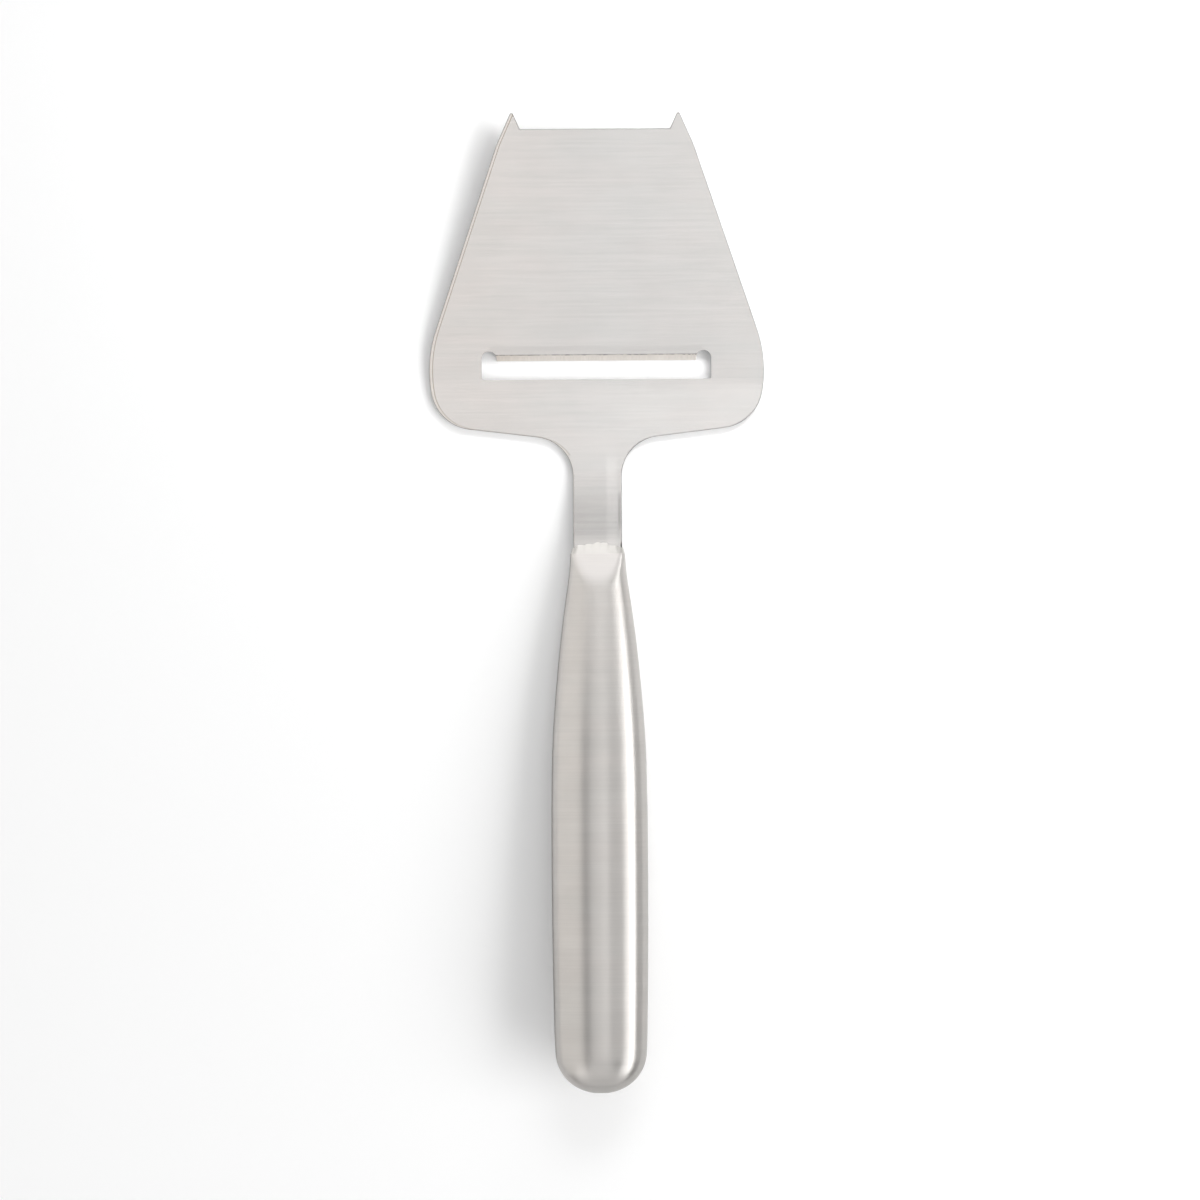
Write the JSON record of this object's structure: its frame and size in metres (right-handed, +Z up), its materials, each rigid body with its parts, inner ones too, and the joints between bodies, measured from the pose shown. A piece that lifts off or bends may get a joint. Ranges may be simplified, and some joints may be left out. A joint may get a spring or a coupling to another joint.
{
  "type": "cheese slicer",
  "caption": "Plane cheese slicer: a pronged steel blade with a cross slot and turned-down cutting lip, welded into a hollow oval steel handle.",
  "frame": {"origin": "on the table under the middle of the slicer, halfway between the prong tips and the handle's end", "axes": "+Y along the slicer towards the prong tips, +X to the right seen from above, +Z up from the table"},
  "size_m": [0.0772, 0.2253, 0.0187],
  "materials": {
    "blade_steel": "brushed across the slicer, ground along the cutting lip",
    "handle_steel": "satin, brushed round the handle, nose facets ground across it",
    "weld_steel": "weld metal, ground flush along the seam and left uneven at the nose"
  },
  "bodies": {
    "root": {"blade": "blade_steel", "handle_upper_shell": "handle_steel", "handle_lower_shell": "handle_steel", "handle_seam_weld": "weld_steel", "nose_weld": "weld_steel"}
  },
  "joints": []
}
